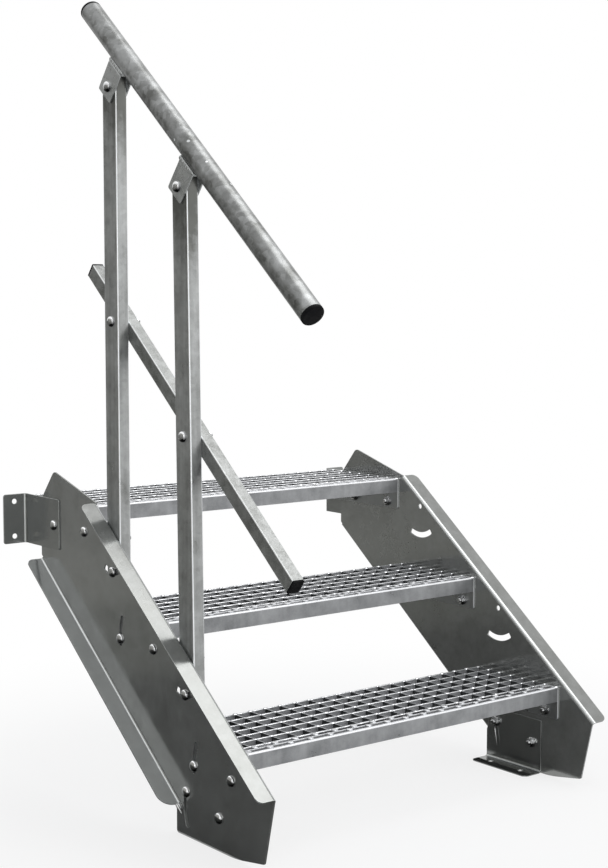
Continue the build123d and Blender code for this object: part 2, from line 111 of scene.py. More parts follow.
# %% White surroundings
SKY_LEVEL = 0.55
bpy.context.scene.view_settings.view_transform = "Standard"
world = bpy.data.worlds.new("studio")
bpy.context.scene.world = world
world.use_nodes = True
sky = world.node_tree
sky.nodes.clear()


def seen_rays(tree):
    """1 for rays of the camera, of gloss and through glass, else 0."""
    path = put(tree, "ShaderNodeLightPath")
    both = sum_up(tree, "MAXIMUM", path.outputs["Is Camera Ray"], path.outputs["Is Glossy Ray"])
    return sum_up(tree, "MAXIMUM", both, path.outputs["Is Transmission Ray"])


lit = put(sky, "ShaderNodeBackground", in_Color=(0.95, 0.97, 1, 1), in_Strength=SKY_LEVEL)
seen = put(sky, "ShaderNodeBackground", in_Color=(1, 1, 1, 1), in_Strength=1.0)
either = put(sky, "ShaderNodeMixShader", in_0=seen_rays(sky), in_1=lit.outputs[0], in_2=seen.outputs[0])
put(sky, "ShaderNodeOutputWorld", in_Surface=either.outputs[0])
print("sky level for soft light:", SKY_LEVEL)

# %% [markdown]
# The floor has the same white, and still takes the stair's soft shadow: near the stair
# a fifth of its colour is plain white paint under the lamps, and the rest glows like
# the background. Further out it is all background, so that no horizon shows.

# %% White floor
FLOOR_SIZE, FLOOR_Z = 30, -0.0005
MIDDLE_TO_ZERO = (-0.35, -0.1, 0)
FADE_FROM, FADE_TO = 0.5, 1.5
GLOW_NEAR, GLOW_FAR = 0.78, 1.0

bpy.ops.mesh.primitive_plane_add(size=FLOOR_SIZE, location=(0, 0, FLOOR_Z))
floor = bpy.context.object
floor.name = "studio_floor"
white = bpy.data.materials.new("studio_white")
white.use_nodes = True
tree = white.node_tree
tree.nodes.clear()
place = put(tree, "ShaderNodeTexCoord").outputs["Object"]
centre = put(tree, "ShaderNodeMapping", in_Vector=place, in_Location=MIDDLE_TO_ZERO)
reach = put(tree, "ShaderNodeVectorMath", operation="LENGTH", in_0=centre.outputs[0])
fade = put(tree, "ShaderNodeMapRange", interpolation_type="SMOOTHSTEP",
           in_Value=reach.outputs["Value"], in_From_Min=FADE_FROM, in_From_Max=FADE_TO,
           in_To_Min=GLOW_NEAR, in_To_Max=GLOW_FAR)
share = sum_up(tree, "MULTIPLY", fade.outputs[0], seen_rays(tree))
paint = put(tree, "ShaderNodeBsdfDiffuse", in_Color=(0.9, 0.9, 0.9, 1))
glow = put(tree, "ShaderNodeEmission", in_Color=(1, 1, 1, 1), in_Strength=1.0)
both = put(tree, "ShaderNodeMixShader", in_0=share, in_1=paint.outputs[0], in_2=glow.outputs[0])
put(tree, "ShaderNodeOutputMaterial", in_Surface=both.outputs[0])
floor.data.materials.append(white)
print("floor reaches", floor.dimensions.x / 2, "m to each side")

# %% [markdown]
# Three soft boxes light the stair: a large one overhead, which brightens the treads and
# the tops of the rails, a weak one in front for the nosings, and a tall strip at the
# corner on the left, whose reflection runs down the posts and round the handrail.

# %% Lamps
def soft_box(name, place, aim, size, watts):
    """An area lamp at place, turned to face aim; size is its width and height."""
    direction = Vector(aim) - Vector(place)
    bpy.ops.object.light_add(
        type="AREA", location=place, rotation=direction.to_track_quat("-Z", "Y").to_euler())
    lamp = bpy.context.object
    lamp.name = name
    lamp.data.shape = "RECTANGLE"
    lamp.data.size, lamp.data.size_y = size
    lamp.data.energy = watts
    return lamp


soft_box("top_box", (1.1, -0.5, 3.5), (0.4, 0.1, 0.4), (2.4, 2.4), 44)
soft_box("front_box", (1.9, -3.2, 1.7), (0.4, 0.0, 0.6), (1.6, 1.6), 8)
soft_box("corner_strip", (-3.4, -2.6, 1.5), (0.0, 0.1, 0.7), (0.5, 2.4), 14)

# %% [markdown]
# Metal shows what stands around it, and with white all round it would look like paper.
# A picture of surroundings wrapped round the world would do, but flat cards can be
# placed one by one, as in a photographer's studio. A card is a plane, turned and sized in
# edit mode, that is hidden from the camera, from shadows and from soft light.

# %% A card that only reflections show
def matt(name, colour):
    """A plain material without shine."""
    material = bpy.data.materials.new(name)
    material.use_nodes = True
    shader = material.node_tree.nodes["Principled BSDF"]
    shader.inputs["Base Color"].default_value = (*colour, 1)
    shader.inputs["Roughness"].default_value = 1
    return material


def reflected_only(name, low, high, material):
    """A flat card between two corners that shows in the metal and nowhere else."""
    low, high = Vector(low), Vector(high)
    bpy.ops.mesh.primitive_plane_add(size=1, location=(0, 0, 0))
    card = bpy.context.object
    card.name = name
    bpy.ops.object.mode_set(mode="EDIT")
    bpy.ops.mesh.select_all(action="SELECT")
    size = high - low
    thin = min(range(3), key=lambda axis: size[axis])
    if thin < 2:
        bpy.ops.transform.rotate(
            value=math.radians(90), orient_axis="YX"[thin], center_override=(0, 0, 0))
    size[thin] = 1
    bpy.ops.transform.resize(value=size, center_override=(0, 0, 0))
    bpy.ops.transform.translate(value=(low + high) / 2)
    bpy.ops.object.mode_set(mode="OBJECT")
    card.visible_camera = False
    card.visible_shadow = False
    card.visible_diffuse = False
    card.data.materials.append(material)
    return card


print("cards may be placed")

# %% [markdown]
# The left faces of the real stair are dark and its folds glint. So a grey card stands
# on the left and a low dark one far behind, and three cloths lie just above the floor,
# dark near the stair and paler further back, which the posts show as soft bands.

# %% Cards and cloths in their places
LEFT, RIGHT, BACK, GROUND = -1.7, 0.745, 5.0, 0.003
CARDS = (
    ("grey_card", (LEFT, -0.9, 0), (LEFT, BACK, 2.1), "card_grey", (0.52, 0.51, 0.47)),
    ("back_card", (LEFT, BACK, 0), (0.9, BACK, 1.1), "card_deep_grey", (0.2, 0.2, 0.19)),
    ("dark_cloth", (LEFT, -0.35, GROUND), (RIGHT, 1.2, GROUND), "cloth_dark", (0.075, 0.075, 0.068)),
    ("middle_cloth", (LEFT, 1.2, GROUND), (RIGHT, 2.1, GROUND), "cloth_middle", (0.3, 0.3, 0.27)),
    ("far_cloth", (LEFT, 2.1, GROUND), (RIGHT, BACK, GROUND), "cloth_grey", (0.62, 0.61, 0.56)),
)
for name, low, high, paint_name, colour in CARDS:
    reflected_only(name, low, high, matt(paint_name, colour))
bpy.ops.object.select_all(action="DESELECT")
print("cards and cloths:", len(CARDS))

# %% [markdown]
# Hot-dip zinc is never one grey. It freezes in crystals, gathers in cloudy blotches,
# runs down the steel in streaks and is finely speckled. Each of these is one pattern on
# the piece's Object coordinates, a number around a half. The scale of a pattern is how
# many of its grains fit in a metre.

# %% Patterns of zinc
CRYSTALS, BLOTCHES, STREAKS, SPECKS = 95.0, 22.0, 90.0, 450.0


def noise(tree, where, scale, detail, **more):
    """A noise pattern's number."""
    node = put(tree, "ShaderNodeTexNoise", in_Vector=where, in_Scale=scale, in_Detail=detail, **more)
    return node.outputs["Fac"]


def zinc_patterns(tree, where):
    """The four patterns of zinc by name."""
    crystal = put(tree, "ShaderNodeTexVoronoi", in_Vector=where, in_Scale=CRYSTALS).outputs["Color"]
    drawn_out = put(tree, "ShaderNodeMapping", in_Vector=where, in_Scale=(1, 1, 0.06)).outputs[0]
    return {
        "crystal": put(tree, "ShaderNodeSeparateColor", in_Color=crystal).outputs[0],
        "blotch": noise(tree, where, BLOTCHES, 5.0, in_Roughness=0.6),
        "streak": noise(tree, drawn_out, STREAKS, 3.0),
        "speck": noise(tree, where, SPECKS, 2.0),
    }


print("grains to a metre:", CRYSTALS, BLOTCHES, STREAKS, SPECKS)

# %% [markdown]
# A finish sums its patterns into one number, which blends a dark and a pale zinc. Light
# is painted into that number as well: a face that looks upward is painted paler and one
# that looks down darker, as by a light from above, round bend faces get a painted
# highlight, and sharp edges get wear with a painted highlight where the amount is above
# zero and a painted shade where it is below. A face in a bend looks between two axes,
# which a product of the normal's X finds, and a sharp edge is where a rounded normal
# differs from the plain one.

# %% How much pale zinc shows
EDGE_WIDTH, EDGE_GAIN = 0.0016, 3.0


def pale_share(tree, parts, patterns, axis, level, up, bend_highlight):
    """The number of a finish before its edges: level, patterns, and the painted light of facing and of
    round bend faces.
    """
    total = level
    for part, much in patterns.items():
        swing = sum_up(tree, "SUBTRACT", parts[part], 0.5)
        total = sum_up(tree, "ADD", sum_up(tree, "MULTIPLY", swing, much), total)
    # Painted light from above: a face that looks upward is painted paler, one that looks down darker.
    total = sum_up(tree, "ADD", total, sum_up(tree, "MULTIPLY", axis["Z"], up))
    # Painted highlight on the faces of a round bend, which look between the X axis and another.
    if bend_highlight:
        square = sum_up(tree, "MULTIPLY", axis["X"], axis["X"])
        bend = sum_up(tree, "MULTIPLY", square, sum_up(tree, "SUBTRACT", 1.0, square))
        total = sum_up(tree, "ADD", total, sum_up(tree, "MULTIPLY", bend, 4 * bend_highlight))
    return total


def near_edges(tree, facing):
    """A number that rises to 1 close to a sharp edge."""
    rounded = put(tree, "ShaderNodeBevel", samples=4, in_Radius=EDGE_WIDTH).outputs[0]
    alike = put(tree, "ShaderNodeVectorMath", operation="DOT_PRODUCT", in_0=facing, in_1=rounded)
    apart_by = sum_up(tree, "SUBTRACT", 1.0, alike.outputs["Value"])
    return sum_up(tree, "MULTIPLY", apart_by, EDGE_GAIN, clamp=True)


print("edges count within", EDGE_WIDTH, "m")

# %% [markdown]
# The finish itself sets the blended colour, a gloss that comes and goes with the
# blotches, and a low bump, because zinc is never quite flat. A finish may hand over one
# more number of its own, for what only one kind of piece has.

# %% A zinc finish
def zinc(name, dark, pale, patterns, level=0.3, metallic=0.8, roughness=0.42, up=0.0, bend_highlight=0.0,
         edge=0.3, extra=None, lumps=0.25, cloudy=0.07):
    """A zinc finish; patterns maps crystal, blotch, streak and speck to how much each shows."""
    material = bpy.data.materials.new(name)
    material.use_nodes = True
    tree = material.node_tree
    shader = tree.nodes["Principled BSDF"]
    where = put(tree, "ShaderNodeTexCoord").outputs["Object"]
    facing = put(tree, "ShaderNodeNewGeometry").outputs["Normal"]
    parts, axis = zinc_patterns(tree, where), apart(tree, facing)
    total = pale_share(tree, parts, patterns, axis, level, up, bend_highlight)
    if extra:
        total = sum_up(tree, "ADD", total, extra(tree, where, axis))
    # Sharp edges: wear and a painted highlight where the amount is above zero, a painted shade along the
    # gaps where it is below.
    if edge:
        edge_wear_and_light = sum_up(tree, "MULTIPLY", near_edges(tree, facing), edge)
        total = sum_up(tree, "ADD", total, edge_wear_and_light, clamp=True)
    colour = put(tree, "ShaderNodeMix", data_type="RGBA", in_6=(*dark, 1), in_7=(*pale, 1))
    tree.links.new(total, colour.inputs["Factor"])
    tree.links.new(colour.outputs[2], shader.inputs["Base Color"])
    gloss = put(tree, "ShaderNodeMapRange", in_Value=parts["blotch"], in_From_Min=0.3, in_From_Max=0.7,
                in_To_Min=roughness - cloudy, in_To_Max=roughness + cloudy)
    tree.links.new(gloss.outputs[0], shader.inputs["Roughness"])
    shader.inputs["Metallic"].default_value = metallic
    height = sum_up(tree, "ADD", sum_up(tree, "MULTIPLY", parts["speck"], 0.3), parts["blotch"])
    bump = put(tree, "ShaderNodeBump", in_Strength=lumps, in_Distance=0.0012, in_Height=height)
    tree.links.new(bump.outputs[0], shader.inputs["Normal"])
    return material


print("zinc finish ready")

# %% [markdown]
# A finish that changes along a piece needs the stair's sizes. They are counted from the
# left string's inner face and from the front edge of the first tread, because that is
# how a stair is drawn. The frame's own origin lies under the left foot plate, so places
# are moved by ORIGIN_X and ORIGIN_Y.

# %% Sizes of the stair
RISE, GOING = 0.195, 0.257
WIDTH, SHEET = 0.800, 0.003
ORIGIN_X, ORIGIN_Y = 0.025, 0.129
SLOPE = math.atan2(RISE, GOING)
print("slope of the strings:", round(math.degrees(SLOPE), 1), "degrees")

# %% [markdown]
# The strings are smooth sheet, which mirrors its surroundings in soft clouds. The flat part
# of their lower fold, outside the web and low on the slope, looks upward and is painted
# paler, a painted light from above. That could be a second material on those faces, but
# they aren't separate in the measured model, so the place and the facing pick them. The
# brackets are thicker and duller plate, and the saddles under the handrail are a little
# paler than those. The folds of strings and brackets carry a painted highlight, and the
# edges of brackets and saddles are painted dark, a painted shade in the gaps along them.

# %% Finishes of strings, brackets and saddles
LOWER_FOLD_BELOW, FLAT, FOLD_PAINTED_LIGHT = 0.1, 0.5, 0.46


def lower_fold_painted_light(tree, where, axis):
    """The extra number of a string: a painted light that makes its lower fold paler."""
    place = apart(tree, where)
    under_slope = sum_up(tree, "MULTIPLY", place["Y"], RISE / GOING)
    low = sum_up(tree, "LESS_THAN", sum_up(tree, "SUBTRACT", place["Z"], under_slope), LOWER_FOLD_BELOW)
    flat = sum_up(tree, "GREATER_THAN", sum_up(tree, "ABSOLUTE", axis["Z"]), FLAT)
    from_middle = sum_up(tree, "SUBTRACT", place["X"], WIDTH / 2 - ORIGIN_X)
    outside = sum_up(tree, "GREATER_THAN", sum_up(tree, "ABSOLUTE", from_middle), WIDTH / 2 + SHEET)
    both = sum_up(tree, "MULTIPLY", sum_up(tree, "MULTIPLY", low, flat), outside)
    return sum_up(tree, "MULTIPLY", both, FOLD_PAINTED_LIGHT)


sheet_zinc = zinc("zinc_sheet", (0.12, 0.122, 0.11), (0.78, 0.8, 0.8),
                  {"blotch": 0.24, "crystal": 0.03, "speck": 0.05}, level=0.25, bend_highlight=0.5,
                  roughness=0.16, lumps=0.03, metallic=0.72, extra=lower_fold_painted_light, cloudy=0.05)
# The bracket's edges are painted dark, a painted shade in the gaps along them, and its bends carry a
# painted highlight.
bracket_zinc = zinc("zinc_bracket", (0.12, 0.124, 0.118), (0.7, 0.72, 0.71),
                    {"blotch": 0.16, "streak": 0.06, "speck": 0.06}, level=0.24, bend_highlight=0.6, edge=-1.2,
                    roughness=0.2, lumps=0.1)
# The saddle's edges are painted a little darker, a painted shade.
saddle_zinc = zinc("zinc_saddle", (0.12, 0.124, 0.118), (0.8, 0.82, 0.82),
                   {"blotch": 0.3, "crystal": 0.1, "speck": 0.08}, level=0.42, edge=-0.2, roughness=0.28,
                   lumps=0.1)
print("finishes:", sheet_zinc.name, bracket_zinc.name, saddle_zinc.name)

# %% [markdown]
# Posts and rails are tube, and rougher. A post is streaked along its length, and the shade
# of the handrail is painted on its head. A shade painted by height could miss a sloping
# rail, so the height is counted from the rail's own slope. The rounded corners of posts and
# knee rail carry a painted highlight. The handrail is blotched, painted paler on top as by
# a light from above, and carries a few bright pips of zinc, each the middle of a Voronoi
# cell. The knee rail is speckled.

# %% Finishes of posts and rails
RAIL_ANGLE = math.radians(39.5)
SHADE_FROM, SHADE_TO, SHADE_DARKER = 0.980, 1.140, 0.3
PIPS, PIP_SIZE, PIP_PALER = 20.0, 0.065, 0.7


def shade_under_rail(tree, where, axis):
    """The extra number of a post: the handrail's shade, painted on its head."""
    place = apart(tree, where)
    along_rail = sum_up(tree, "MULTIPLY", place["Y"], math.tan(RAIL_ANGLE))
    height = sum_up(tree, "SUBTRACT", place["Z"], along_rail)
    shade = put(tree, "ShaderNodeMapRange", interpolation_type="SMOOTHSTEP", in_Value=height,
                in_From_Min=SHADE_FROM, in_From_Max=SHADE_TO, in_To_Min=0.0, in_To_Max=-SHADE_DARKER)
    return shade.outputs[0]


def pips(tree, where, axis):
    """The extra number of the handrail: a few bright pips of zinc."""
    near = put(tree, "ShaderNodeTexVoronoi", in_Vector=where, in_Scale=PIPS).outputs["Distance"]
    return sum_up(tree, "MULTIPLY", sum_up(tree, "LESS_THAN", near, PIP_SIZE), PIP_PALER)


knee_zinc = zinc("zinc_knee_rail", (0.1, 0.103, 0.095), (0.9, 0.92, 0.92),
                 {"blotch": 0.4, "crystal": 0.08, "speck": 0.4}, level=0.19, up=0.04, bend_highlight=0.8,
                 roughness=0.36)
post_zinc = zinc("zinc_post", (0.12, 0.123, 0.115), (0.95, 0.97, 0.98),
                 {"blotch": 0.42, "streak": 0.3, "crystal": 0.06, "speck": 0.07}, level=0.26,
                 up=-0.06, bend_highlight=1.1, roughness=0.34, extra=shade_under_rail)
# The handrail's top is painted paler, a painted light from above.
rail_zinc = zinc("zinc_handrail", (0.11, 0.112, 0.106), (0.82, 0.84, 0.85),
                 {"blotch": 0.8, "crystal": 0.14, "speck": 0.06}, level=0.13, up=0.12, roughness=0.36,
                 extra=pips)
print("finishes:", knee_zinc.name, post_zinc.name, rail_zinc.name)

# %% [markdown]
# In a tread the tops of the long bearing bars are painted pale, a painted highlight from
# above, and what lies between them, the thin cross bars too, is painted darker, a painted
# shade in the cells. The bars repeat at one pitch, so a repeated ramp along Y tells them
# apart: inside a bar's thickness it is a bearing bar.

# %% Finishes of the gratings
STEPS = range(3)
BAR, LAST_BEARER = 0.003, 7
BAR_PITCH = 0.237 / LAST_BEARER
MARGIN, CROSS_BAR_PAINTED_SHADE = 0.0002, 0.55


def cross_bars_painted_shade(step):
    """The extra number of a tread's grating: a painted shade between the bearing bars, where the cross
    bars are.
    """
    def extra(tree, where, axis):
        along = sum_up(tree, "SUBTRACT", apart(tree, where)["Y"], step * GOING - ORIGIN_Y - MARGIN)
        within = sum_up(tree, "FRACT", sum_up(tree, "DIVIDE", along, BAR_PITCH))
        between = sum_up(tree, "GREATER_THAN", within, (BAR + 2 * MARGIN) / BAR_PITCH)
        return sum_up(tree, "MULTIPLY", between, -CROSS_BAR_PAINTED_SHADE)
    return extra


# Faces that look upward are painted pale, a painted highlight on the tops of the bars.
grating_zinc = [zinc(f"zinc_grating_{step + 1}", (0.045, 0.048, 0.05), (0.95, 0.96, 0.98),
                     {"blotch": 0.3, "crystal": 0.05, "speck": 0.1}, level=0.46, up=0.6,
                     extra=cross_bars_painted_shade(step), roughness=0.3, metallic=0.3)
                for step in STEPS]
lump_zinc = zinc("zinc_lumps", (0.5, 0.51, 0.52), (0.97, 0.98, 1.0), {"blotch": 0.6}, level=0.8,
                 metallic=0.7, roughness=0.2, edge=0)
print("grating finishes:", len(grating_zinc) + 1)

# %% [markdown]
# The nosing in front of each tread has its front face painted dark, a painted shade, while
# the walls of its slots and the teeth between them are painted bright, a painted highlight.
# All treads have the same height above each other, so the part of the height that is left
# after whole rises finds the teeth. An end plate's front edge carries a painted highlight too.

# %% Finishes of nosings and end plates
SLOT_WALL, TOOTH_MIDDLE, TOOTH_HALF = 0.0031, 0.006, 0.0045
WALL_PAINTED_HIGHLIGHT, FACE_PAINTED_SHADE, TOOTH_PAINTED_HIGHLIGHT = 0.8, 0.95, 0.6


def faces_front(tree, axis, much):
    """1 on faces that look to the front, else 0."""
    return sum_up(tree, "GREATER_THAN", sum_up(tree, "MULTIPLY", axis["Y"], -1.0), much)


def nosing_painted_light(tree, where, axis):
    """The extra number of a nosing: a painted shade on its front face, a painted highlight on its slot
    walls and teeth.
    """
    step = sum_up(tree, "FRACT", sum_up(tree, "DIVIDE", apart(tree, where)["Z"], RISE))
    low = sum_up(tree, "LESS_THAN", step, 1 - SLOT_WALL / RISE)
    walls = sum_up(tree, "SUBTRACT", WALL_PAINTED_HIGHLIGHT, sum_up(tree, "MULTIPLY", low, FACE_PAINTED_SHADE))
    front = sum_up(tree, "MULTIPLY", faces_front(tree, axis, 0.7), walls)
    from_teeth = sum_up(tree, "ABSOLUTE", sum_up(tree, "SUBTRACT", step, TOOTH_MIDDLE))
    teeth = sum_up(tree, "LESS_THAN", from_teeth, TOOTH_HALF)
    return sum_up(tree, "ADD", front, sum_up(tree, "MULTIPLY", teeth, TOOTH_PAINTED_HIGHLIGHT))


def front_edge_painted_highlight(tree, where, axis):
    """The extra number of an end plate: a painted highlight on its front edge."""
    return faces_front(tree, axis, 0.6)


# The nosing's upward faces are painted paler too, a painted light from above.
nosing_zinc = zinc("zinc_nosing", (0.08, 0.085, 0.088), (0.95, 0.96, 0.98),
                   {"blotch": 0.5, "streak": 0.12, "speck": 0.1}, level=0.4, up=0.4, edge=0.6,
                   extra=nosing_painted_light, roughness=0.34, metallic=0.6)
plate_zinc = zinc("zinc_end_plate", (0.12, 0.124, 0.122), (0.85, 0.87, 0.88),
                  {"blotch": 0.2, "streak": 0.1, "speck": 0.06}, level=0.24, edge=0.5, roughness=0.3,
                  extra=front_edge_painted_highlight)
print("zinc finishes:", [m.name for m in bpy.data.materials if m.name.startswith("zinc")])

# %% [markdown]
# The end caps are moulded in black plastic: nearly black, hardly shiny, with the fine
# grain of the mould and some dust.

# %% Black plastic
def moulded_plastic(name):
    """Black plastic with grain and dust."""
    material = bpy.data.materials.new(name)
    material.use_nodes = True
    tree = material.node_tree
    shader = tree.nodes["Principled BSDF"]
    where = put(tree, "ShaderNodeTexCoord").outputs["Object"]
    grain = noise(tree, where, 900.0, 2.0)
    dust = noise(tree, where, 70.0, 4.0)
    ramp = put(tree, "ShaderNodeMapRange", in_Value=dust, in_From_Min=0.35, in_From_Max=0.75)
    colour = put(tree, "ShaderNodeMix", data_type="RGBA", in_6=(0.004, 0.004, 0.005, 1),
                 in_7=(0.014, 0.014, 0.014, 1))
    tree.links.new(ramp.outputs[0], colour.inputs["Factor"])
    tree.links.new(colour.outputs[2], shader.inputs["Base Color"])
    gloss = put(tree, "ShaderNodeMapRange", in_Value=dust, in_To_Min=0.5, in_To_Max=0.75)
    tree.links.new(gloss.outputs[0], shader.inputs["Roughness"])
    shader.inputs["Specular IOR Level"].default_value = 0.06
    bump = put(tree, "ShaderNodeBump", in_Strength=0.2, in_Distance=0.0004, in_Height=grain)
    tree.links.new(bump.outputs[0], shader.inputs["Normal"])
    return material


plastic = moulded_plastic("black_plastic_cap")
print("cap finish:", plastic.name)

# %% [markdown]
# Steel that has been through the zinc bath has no sharp edge left. The measured pieces
# are loose triangles, so live modifiers first weld them, join the triangles of a flat
# face, round the edges, and even out the shading. The mesh underneath stays as it is.

# %% Rounded edges
def round_edges(node, width):
    """Live modifiers that give a measured piece rounded edges of a width in metres."""
    weld = node.modifiers.new("join_corners", "WELD")
    weld.merge_threshold = 0.00002
    flat = node.modifiers.new("join_flat_faces", "DECIMATE")
    flat.decimate_type = "DISSOLVE"
    flat.angle_limit = math.radians(1)
    rounding = node.modifiers.new("rounded_edges", "BEVEL")
    rounding.width = width
    rounding.segments = 2
    rounding.limit_method = "ANGLE"
    rounding.angle_limit = math.radians(40)
    rounding.use_clamp_overlap = False
    even = node.modifiers.new("even_shading", "WEIGHTED_NORMAL")
    even.keep_sharp = False


def rounding_for(name):
    """The width of a piece's rounding; a wide one would overshoot where a string's folds end."""
    if "string" in name:
        return 0.0003
    return 0.0009 if "bracket" in name else 0.0006


for name, node in nodes.items():
    if "grating" not in name:
        round_edges(node, rounding_for(name))
print("pieces with rounded edges:", sum(1 for node in nodes.values() if node.modifiers))

# %% [markdown]
# Each measured piece gets its finish by its name, and where the name says nothing, by
# the material slot that the measured model gave it.

# %% Finishes for the measured pieces
def finish_for(name, slot_name):
    """The finish of a measured piece, by its name and the record's material slot."""
    if "cap" in name:
        return plastic
    if "nosing" in name:
        return nosing_zinc
    if "grating" in name or "back_bar" in name:
        return grating_zinc[int(name.split("_")[1]) - 1]
    if "end_plate" in name:
        return plate_zinc
    if "saddle" in name:
        return saddle_zinc
    if slot_name == "galvanised_bracket":
        return bracket_zinc
    if name == "handrail":
        return rail_zinc
    if name.startswith("knee"):
        return knee_zinc
    return sheet_zinc if slot_name == "galvanised_sheet" else post_zinc


for name, node in nodes.items():
    for slot in node.material_slots:
        slot.material = finish_for(name, slot.material.name.split(".")[0])
print("pieces with a finish:", len(nodes))

# %% [markdown]
# New pieces start from a primitive and are shaped in edit mode, as by hand. With no mouse
# to point at a face, a helper picks faces by their middle and direction, and two more
# move and extrude what is picked.

# %% Helpers in edit mode
def pick(test):
    """In edit mode, select only the faces whose middle and normal pass the test."""
    bpy.ops.mesh.select_mode(type="FACE")
    bpy.ops.mesh.select_all(action="DESELECT")
    shape = bmesh.from_edit_mesh(bpy.context.object.data)
    for face in shape.faces:
        face.select_set(bool(test(face.calc_center_median(), face.normal)))
    bmesh.update_edit_mesh(bpy.context.object.data)


def push(value):
    """Move what is selected in edit mode."""
    bpy.ops.transform.translate(value=value)


def grow(value, width=1):
    """Extrude what is selected in edit mode, and make the new end wider or narrower."""
    bpy.ops.mesh.extrude_region_move(TRANSFORM_OT_translate={"value": value})
    if width != 1:
        bpy.ops.transform.resize(value=(width, width, 1))


print("faces may be picked, pushed and grown")

# %% [markdown]
# A shaped piece is closed up in object mode: its place is applied to its mesh, a bevel
# rounds its edges a little, and the shading is smooth between sharp edges. Rounding by
# hand, edge by edge, would give the same, but the modifier finds the edges by itself.

# %% Helpers in object mode
def close_up(piece, rounding, angle=35):
    """Round a piece's edges and shade it smooth between them."""
    bpy.ops.object.select_all(action="DESELECT")
    piece.select_set(True)
    bpy.context.view_layer.objects.active = piece
    bpy.ops.object.transform_apply(location=True, rotation=True, scale=True)
    if rounding:
        bevel = piece.modifiers.new("small_round", "BEVEL")
        bevel.width = rounding
        bevel.segments = 2
        bevel.limit_method = "ANGLE"
        bevel.angle_limit = math.radians(angle)
        bpy.ops.object.modifier_apply(modifier=bevel.name)
    bpy.ops.object.shade_smooth_by_angle(angle=math.radians(angle))
    piece.select_set(False)
    return piece


def join(first, *others):
    """One object from several."""
    bpy.ops.object.select_all(action="DESELECT")
    for piece in (*others, first):
        piece.select_set(True)
    bpy.context.view_layer.objects.active = first
    bpy.ops.object.join()
    first.select_set(False)
    return first


print("helpers for new pieces ready")

# %% [markdown]
# The stair is held by M10 bolts. Each has a nut, which is a six-sided block with a
# chamfer, standing on a dished flange. It could be cut out of a solid, but two cylinders
# whose end faces are inset and then moved a little have cleaner faces.

# %% The nut of a bolt
NUT_SEAT, NUT_END = -0.001, -0.0095
FLANGE_RADIUS, FLANGE, DISH_WIDTH, DISH_RISE = 0.0105, 0.002, 0.0022, 0.0008
HEXAGON_RADIUS, HEXAGON_START = 0.00924, 0.0018
CHAMFER, CHAMFER_RISE, HOLLOW, HOLLOW_DEPTH = 0.0010, 0.0005, 0.0022, 0.0006


def flat_end(middle, normal):
    """Whether a face closes a cylinder at its lower end."""
    return normal.z < -0.9


bpy.ops.mesh.primitive_cylinder_add(
    vertices=36, radius=FLANGE_RADIUS, depth=FLANGE, location=(0, 0, NUT_SEAT - FLANGE / 2))
flange = bpy.context.object
bpy.ops.object.mode_set(mode="EDIT")
pick(flat_end)
bpy.ops.mesh.inset(thickness=DISH_WIDTH)
push((0, 0, -DISH_RISE))
bpy.ops.object.mode_set(mode="OBJECT")
close_up(flange, 0.0003)

start = NUT_SEAT - HEXAGON_START
bpy.ops.mesh.primitive_cylinder_add(
    vertices=6, radius=HEXAGON_RADIUS, depth=abs(NUT_END - start), location=(0, 0, (start + NUT_END) / 2))
six = bpy.context.object
bpy.ops.object.mode_set(mode="EDIT")
pick(flat_end)
bpy.ops.mesh.inset(thickness=CHAMFER)
push((0, 0, -CHAMFER_RISE))
bpy.ops.mesh.inset(thickness=HOLLOW)
push((0, 0, HOLLOW_DEPTH))
bpy.ops.object.mode_set(mode="OBJECT")
close_up(six, 0.0004, angle=25)
nut = join(flange, six)
nut.name = "bolt_nut"
print("nut faces:", len(nut.data.polygons))

# %% [markdown]
# The head is domed and 21 mm wide; its finish paints it bright above and dark below, a
# painted highlight and a painted shade. Spinning an outline would make a dome too, but a
# short cylinder whose top is extruded in steps, each a little narrower, needs no outline
# and keeps the faces even.

# %% The head of a bolt
HEAD_RADIUS, HEAD_RIM = 0.0104, 0.0012
DOME = ((0.0101, 0.0012), (0.0092, 0.0015), (0.0076, 0.0013), (0.0052, 0.0010), (0.0022, 0.0005))

bpy.ops.mesh.primitive_cylinder_add(
    vertices=36, radius=HEAD_RADIUS, depth=HEAD_RIM, location=(0, 0, HEAD_RIM / 2))
head = bpy.context.object
bpy.ops.object.mode_set(mode="EDIT")
pick(lambda middle, normal: normal.z > 0.9)
radius = HEAD_RADIUS
for narrower, higher in DOME:
    grow((0, 0, higher), narrower / radius)
    radius = narrower
bpy.ops.object.mode_set(mode="OBJECT")
close_up(head, 0, angle=50)
print("head:", [round(v, 4) for v in head.dimensions])

# %% [markdown]
# On the far side a thread end stands out of the nut. A true thread is a spiral of many
# faces that nobody sees at this size, so the end of a plain cylinder is extruded narrow
# and wide by turns. Head, nut and thread are joined, because a bolt is one piece to the
# stair, and its plating is brighter than the hot-dip zinc. Its faces that look upward are
# painted near white and those that look down near black, a painted highlight and shade.

# %% The thread, and the whole bolt
THREAD_RADIUS, THREAD, TURN, TURN_DEPTH = 0.0049, 0.0098, 0.0006, 0.88
TIP, TIP_WIDTH = 0.0007, 0.8

bpy.ops.mesh.primitive_cylinder_add(
    vertices=20, radius=THREAD_RADIUS, depth=THREAD, location=(0, 0, -THREAD / 2))
thread = bpy.context.object
bpy.ops.object.mode_set(mode="EDIT")
pick(flat_end)
for turn_of_thread in range(3):
    grow((0, 0, -TURN), TURN_DEPTH)
    grow((0, 0, -TURN), 1 / TURN_DEPTH)
grow((0, 0, -TIP), TIP_WIDTH)
bpy.ops.object.mode_set(mode="OBJECT")
close_up(thread, 0)

bolt = join(head, nut, thread)
bolt.name = "bolt"
